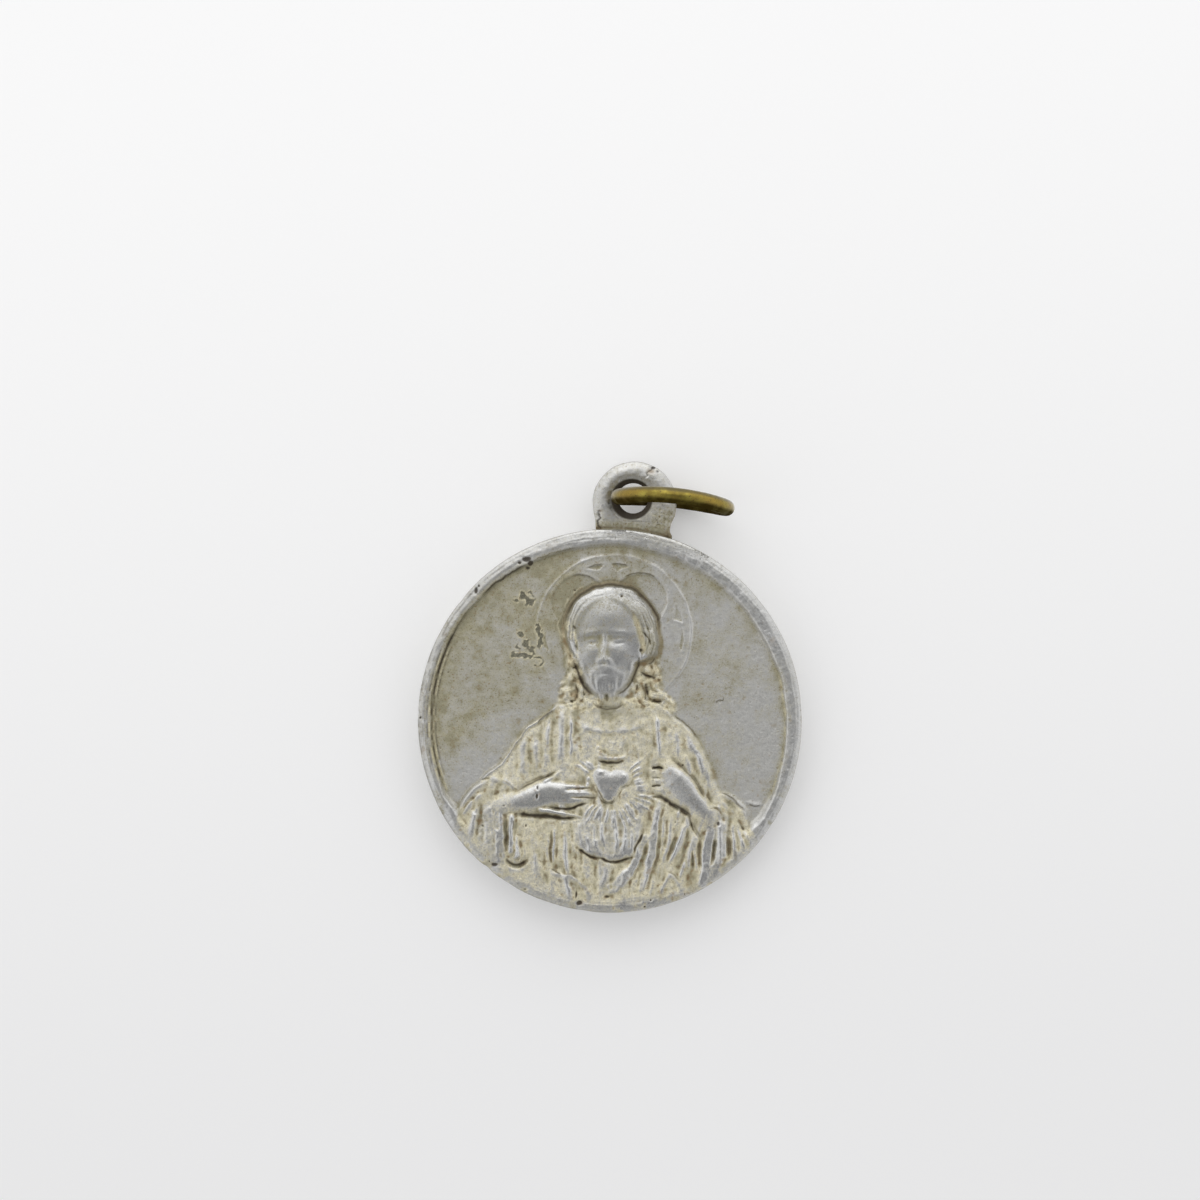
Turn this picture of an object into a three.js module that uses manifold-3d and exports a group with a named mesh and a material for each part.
// Religious medal lying on its back: a struck disc with a devotional half figure in low relief, the flat bail that
// stands on the disc's rim, and a brass jump ring that stands on edge through the bail's eye.
// Millimetres, +Z up. Origin: centre of the bounding box, at the level of the surface the medal lies on.
// +X is to the right of the figure as it is looked at, +Y points from the disc to the bail, +Z out of the face.
import * as THREE from 'three';
import { mergeVertices } from 'three/addons/utils/BufferGeometryUtils.js';
import Module from 'manifold-3d';

// ---------------------------------------------------------------- driving dimensions
const DISC_R = 12.5;          // outer radius of the disc
const DISC_CY = -2.19;        // disc centre in Y, so that the whole medal is centred on the origin
const RIM_TOP = 2.4;          // top of the raised rim
const RIM_IN = 11.35;         // inner foot of the rim
const FIELD_Z = 2.05;         // sunk field between rim and relief
const BACK_RIM_IN = 11.2;     // inner edge of the flat ring that the back lies on
const BACK_SINK = 0.2;        // depth of the plain field on the back
const EDGE_BEVEL = 0.3;       // worn corner of the edge
const SEG = 96;               // facets round the disc

const BAIL_CX = 1.59;         // centre of the bail's round head
const BAIL_CY = 11.93;
const BAIL_R = 2.76;
const BAIL_LO = 1.3;          // underside of the bail
const BAIL_HI = 2.35;         // face of the bail
const BAIL_BEVEL = 0.22;
const FOOT_Y = 10.33;         // plane where the bail's foot stands on the disc
const EYE_X = 1.51;           // axis of the bail's eye
const EYE_Y = 12.29;
const EYE_R = 1.0;            // throat of the eye
const EYE_FLARE = 1.4;        // worn mouth of the eye on the face
const EYE_UNDER = 1.75;       // wider mouth on the underside, where the ring passes under the bail

const WIRE_R = 0.52;          // jump ring: wire radius
const RING_R = 3.5;           // jump ring: radius of the wire's centreline
const RING_OFF = 2.55;        // ring centre from the eye's axis
const RING_Z = 4.03;          // ring centre above the table: it stands on its lowest point
const RING_YAW = -5.96;       // direction of the ring from the eye, degrees from +X
const RING_BOW = 0.30;        // the ring is bent a little out of its plane
const RING_LEAN = 0.05;
const RING_SHIFT = -0.06;
const GAP_AT = -42;           // butt joint of the wire, degrees round the ring
const GAP_DEG = 2.2;

const U = 0.06494;            // drawing unit of the relief's outlines, in mm
const at = (u, v) => [(u - 610) * U, (721 - v) * U + DISC_CY];

const wasm = await Module();
wasm.setup();

// ---------------------------------------------------------------- helpers
function solid(geometry, matrix) {
  let g = geometry.index ? geometry.toNonIndexed() : geometry.clone();
  for (const name of Object.keys(g.attributes)) if (name !== 'position') g.deleteAttribute(name);
  if (matrix) g.applyMatrix4(matrix);
  g = mergeVertices(g, 1e-5);
  const p = g.attributes.position.array, ix = g.index.array, tri = [];
  for (let i = 0; i < ix.length; i += 3) {
    if (ix[i] !== ix[i + 1] && ix[i + 1] !== ix[i + 2] && ix[i] !== ix[i + 2]) tri.push(ix[i], ix[i + 1], ix[i + 2]);
  }
  return new wasm.Manifold(new wasm.Mesh({
    numProp: 3, vertProperties: new Float32Array(p), triVerts: new Uint32Array(tri),
  }));
}
function toGeometry(man) {
  const m = man.getMesh();
  const g = new THREE.BufferGeometry();
  g.setAttribute('position', new THREE.BufferAttribute(new Float32Array(m.vertProperties), 3));
  g.setIndex(new THREE.BufferAttribute(new Uint32Array(m.triVerts), 1));
  g.computeVertexNormals();
  return g;
}
const move = (x, y, z) => new THREE.Matrix4().makeTranslation(x, y, z);
// A lathe about +Z from [r, z] pairs.
function lathe(profile, seg, x = 0, y = 0) {
  const g = new THREE.LatheGeometry(profile.map(([r, z]) => new THREE.Vector2(r, z)), seg);
  g.rotateX(Math.PI / 2);
  g.translate(x, y, 0);
  return outward(g);
}
function outward(g) {
  let m = solid(g);
  if (m.volume() > 0) return m;
  const n = g.index ? g.toNonIndexed() : g, p = n.attributes.position;
  for (let i = 0; i < p.count; i += 3) {
    const x = p.getX(i), y = p.getY(i), z = p.getZ(i);
    p.setXYZ(i, p.getX(i + 1), p.getY(i + 1), p.getZ(i + 1));
    p.setXYZ(i + 1, x, y, z);
  }
  return solid(n);
}
// A flat plate from an outline of [x, y] pairs, with a small bevel on its upper edge.
function plate(points, z0, z1, bevel = 0) {
  const s = new THREE.Shape(points.map(([x, y]) => new THREE.Vector2(x, y)));
  const g = new THREE.ExtrudeGeometry(s, {
    depth: z1 - z0 - 2 * bevel, bevelEnabled: bevel > 0, bevelThickness: bevel, bevelSize: bevel, bevelOffset: -bevel,
    bevelSegments: 1, steps: 1, curveSegments: 8,
  });
  g.translate(0, 0, z0 + bevel);
  return solid(g);
}
// A rounded bar between two points of the relief.
function bar(a, b, r, za, zb, flat = 0.6) {
  const A = new THREE.Vector3(...at(...a), za), B = new THREE.Vector3(...at(...b), zb);
  const d = B.clone().sub(A), len = d.length();
  const g = new THREE.CapsuleGeometry(r, len, 2, 8);
  const m = new THREE.Matrix4().makeRotationFromQuaternion(
    new THREE.Quaternion().setFromUnitVectors(new THREE.Vector3(0, 1, 0), d.normalize()));
  g.applyMatrix4(m);
  g.scale(1, 1, flat);
  g.translate((A.x + B.x) / 2, (A.y + B.y) / 2, (A.z + B.z) / 2);
  return solid(g);
}
function ball(u, v, rx, ry, rz, z, tilt = 0, w = 14, h = 8) {
  const g = new THREE.SphereGeometry(1, w, h);
  g.rotateX(Math.PI / 2);
  g.scale(rx, ry, rz);
  g.rotateZ(tilt);
  const [x, y] = at(u, v);
  g.translate(x, y, z);
  return solid(g);
}
const unite = (list) => wasm.Manifold.union(list);

// ---------------------------------------------------------------- disc
const discBody = lathe([
  [0, BACK_SINK], [BACK_RIM_IN - 0.25, BACK_SINK], [BACK_RIM_IN, 0], [DISC_R - EDGE_BEVEL, 0], [DISC_R, EDGE_BEVEL],
  [DISC_R, RIM_TOP - 0.35], [DISC_R - 0.25, RIM_TOP - 0.06], [DISC_R - 0.5, RIM_TOP], [RIM_IN + 0.25, RIM_TOP - 0.03],
  [RIM_IN, FIELD_Z], [0, FIELD_Z],
], SEG, 0, DISC_CY);

// Halo behind the head: a low ring.
const [haloX, haloY] = at(614, 632);
const halo = lathe([
  [3.9, FIELD_Z - 0.1], [5.16, FIELD_Z - 0.1], [5.16, FIELD_Z + 0.08], [5.0, FIELD_Z + 0.16], [4.3, FIELD_Z + 0.14],
  [3.9, FIELD_Z + 0.06], [3.9, FIELD_Z - 0.1],
], 40, haloX, haloY);

// Shoulders and robe, cut off by the rim below.
const robeOutline = [
  [640, 700], [590, 700], [562, 703], [547, 713], [531, 722], [519, 733], [512, 750], [498, 764], [482, 779], [463, 801],
  [452, 822], [452, 850], [470, 900], [530, 930], [690, 930], [745, 900], [768, 850], [754, 824], [743, 808], [723, 792],
  [716, 782], [708, 757], [700, 741], [690, 729], [674, 716], [660, 706],
].map(([u, v]) => at(u, v)).reverse();
const keep = lathe([[0, 1], [DISC_R - 0.22, 1], [DISC_R - 0.22, RIM_TOP], [DISC_R - 0.5, 4], [0, 4]], SEG, 0, DISC_CY);
const robe = plate(robeOutline, FIELD_Z - 0.2, FIELD_Z + 0.42, 0.12).intersect(keep);

// Head with long hair, and the two locks that fall to the shoulders.
const head = [
  ball(611, 636, 2.95, 3.45, 0.85, FIELD_Z + 0.05, 0.06, 18, 10),
  ball(606, 654, 2.0, 3.1, 1.0, FIELD_Z + 0.1, 0.04, 16, 10),
  bar([574, 628], [577, 690], 0.45, FIELD_Z + 0.3, FIELD_Z + 0.35),
  bar([650, 628], [660, 694], 0.55, FIELD_Z + 0.35, FIELD_Z + 0.35),
];

// Folds of the robe: low ribs.
const rib = (list, r, z) => list.slice(1).map((p, i) => bar(list[i], p, r, z, z, 0.7));
const folds = [
  ...rib([[524, 742], [524, 772]], 0.2, FIELD_Z + 0.42),
  ...rib([[541, 720], [541, 766]], 0.22, FIELD_Z + 0.42),
  ...rib([[571, 712], [570, 764]], 0.2, FIELD_Z + 0.42),
  ...rib([[658, 712], [660, 752]], 0.2, FIELD_Z + 0.42),
  ...rib([[684, 738], [692, 764]], 0.22, FIELD_Z + 0.42),
  ...rib([[483, 806], [484, 856]], 0.25, FIELD_Z + 0.38),
  ...rib([[516, 830], [517, 856]], 0.3, FIELD_Z + 0.42),
  ...rib([[553, 830], [552, 872]], 0.2, FIELD_Z + 0.42),
  ...rib([[640, 842], [614, 892]], 0.3, FIELD_Z + 0.42),
  ...rib([[660, 802], [656, 842], [640, 893]], 0.28, FIELD_Z + 0.42),
  ...rib([[676, 820], [668, 880]], 0.22, FIELD_Z + 0.42),
  ...rib([[716, 822], [707, 882]], 0.3, FIELD_Z + 0.42),
  ...rib([[734, 826], [728, 866]], 0.25, FIELD_Z + 0.38),
  ...rib([[580, 851], [612, 859], [632, 856]], 0.22, FIELD_Z + 0.4),
];

// Arms and hands in front of the breast.
const arms = [
  bar([498, 806], [556, 796], 0.8, FIELD_Z + 0.35, FIELD_Z + 0.5),
  bar([556, 794], [592, 792], 0.5, FIELD_Z + 0.5, FIELD_Z + 0.45),
  bar([556, 780], [590, 785], 0.3, FIELD_Z + 0.5, FIELD_Z + 0.45),
  bar([560, 806], [582, 814], 0.26, FIELD_Z + 0.45, FIELD_Z + 0.4),
  bar([716, 822], [688, 790], 0.85, FIELD_Z + 0.4, FIELD_Z + 0.45),
  bar([688, 790], [668, 774], 0.75, FIELD_Z + 0.45, FIELD_Z + 0.45),
  bar([672, 764], [656, 764], 0.24, FIELD_Z + 0.5, FIELD_Z + 0.5),
  bar([672, 776], [654, 775], 0.26, FIELD_Z + 0.5, FIELD_Z + 0.5),
  bar([672, 785], [654, 784], 0.26, FIELD_Z + 0.48, FIELD_Z + 0.48),
  bar([672, 793], [655, 792], 0.24, FIELD_Z + 0.45, FIELD_Z + 0.45),
];

// Heart with its flame, small cross and rays.
const heartShape = [
  [611, 803], [600, 796], [593, 786], [591, 776], [595, 769], [603, 768], [611, 771], [619, 768], [627, 770], [631, 777],
  [628, 786], [621, 796],
].map(([u, v]) => at(u, v)).reverse();
const heart = [
  plate(heartShape, FIELD_Z + 0.2, FIELD_Z + 0.85, 0.18),
  bar([611, 766], [613, 748], 0.34, FIELD_Z + 0.5, FIELD_Z + 0.5),
  bar([613, 750], [613, 736], 0.1, FIELD_Z + 0.55, FIELD_Z + 0.55, 1),
  bar([608, 742], [618, 742], 0.1, FIELD_Z + 0.55, FIELD_Z + 0.55, 1),
];
const rays = [];
for (let i = 0; i < 16; i++) {
  const a = (i + 0.5) * Math.PI / 8;
  rays.push(bar([612 + 22 * Math.cos(a), 783 - 22 * Math.sin(a)], [612 + 40 * Math.cos(a), 783 - 40 * Math.sin(a)],
    0.1, FIELD_Z + 0.42, FIELD_Z + 0.42, 1));
}

// ---------------------------------------------------------------- bail
const bailOutline = [];
for (let i = 0; i <= 26; i++) {
  const a = THREE.MathUtils.degToRad(-12 + 204 * i / 26);
  bailOutline.push([BAIL_CX + BAIL_R * Math.cos(a), BAIL_CY + BAIL_R * Math.sin(a)]);
}
bailOutline.push([-0.93, 9.2], [4.05, 9.2]);
const bailPlate = plate(bailOutline, BAIL_LO, BAIL_HI, BAIL_BEVEL);
const half = (lo, hi) => {
  const g = new THREE.BoxGeometry(20, hi - lo, 8);
  g.translate(0, (lo + hi) / 2, 2);
  return solid(g);
};
const eyeMid = (BAIL_LO + BAIL_HI) / 2;
const eye = lathe([
  [0, BAIL_LO - 0.4], [EYE_UNDER + 0.5, BAIL_LO - 0.4], [EYE_UNDER, BAIL_LO], [EYE_R, eyeMid - 0.05],
  [EYE_R, eyeMid + 0.1], [EYE_FLARE, BAIL_HI], [EYE_FLARE + 0.36, BAIL_HI + 0.4], [0, BAIL_HI + 0.4],
], 32, EYE_X, EYE_Y);
const bailSolid = bailPlate.intersect(half(FOOT_Y, 20)).subtract(eye);
const footSolid = bailPlate.intersect(half(0, FOOT_Y));

const discSolid = unite([discBody, halo, robe, footSolid, ...head, ...folds, ...arms, ...heart, ...rays]);

// ---------------------------------------------------------------- jump ring
// Drawn in the ring's own frame: x away from the eye, y out of the ring's plane, z up.
class RingPath extends THREE.Curve {
  getPoint(t, target = new THREE.Vector3()) {
    const a = THREE.MathUtils.degToRad(GAP_AT + GAP_DEG / 2 + (360 - GAP_DEG) * t);
    const c = Math.cos(a), s = Math.sin(a);
    return target.set(RING_OFF + RING_R * c, RING_SHIFT + RING_BOW * (1 - c * c) + RING_LEAN * s, RING_Z + RING_R * s);
  }
}
const wire = new THREE.Shape(Array.from({ length: 12 }, (_, i) => {
  const a = (i + 0.5) * Math.PI / 6;
  return new THREE.Vector2(WIRE_R * Math.cos(a), WIRE_R * Math.sin(a));
}));
const ringGeometry = new THREE.ExtrudeGeometry(wire, {
  steps: 64, bevelEnabled: false, extrudePath: new RingPath(), curveSegments: 1,
});

// ---------------------------------------------------------------- assembly
const silver = (name) => new THREE.MeshStandardMaterial({ name, color: 0x9a9b97, roughness: 0.42, metalness: 0.9 });
const brass = new THREE.MeshStandardMaterial({ name: 'ring', color: 0x8a7434, roughness: 0.35, metalness: 0.95 });

const medal = new THREE.Group();
medal.name = 'medal';
function add(parent, name, geometry, material) {
  const mesh = new THREE.Mesh(geometry, material);
  mesh.name = name;
  parent.add(mesh);
  return mesh;
}
add(medal, 'medal_disc', toGeometry(discSolid), silver('medal'));
add(medal, 'bail', toGeometry(bailSolid), silver('bail'));

const swivel = new THREE.Group();
swivel.name = 'ring_swivel';
swivel.position.set(EYE_X, EYE_Y, 0);
swivel.rotation.z = THREE.MathUtils.degToRad(RING_YAW);
add(swivel, 'jump_ring', toGeometry(outward(ringGeometry)), brass);
medal.add(swivel);

export default medal;
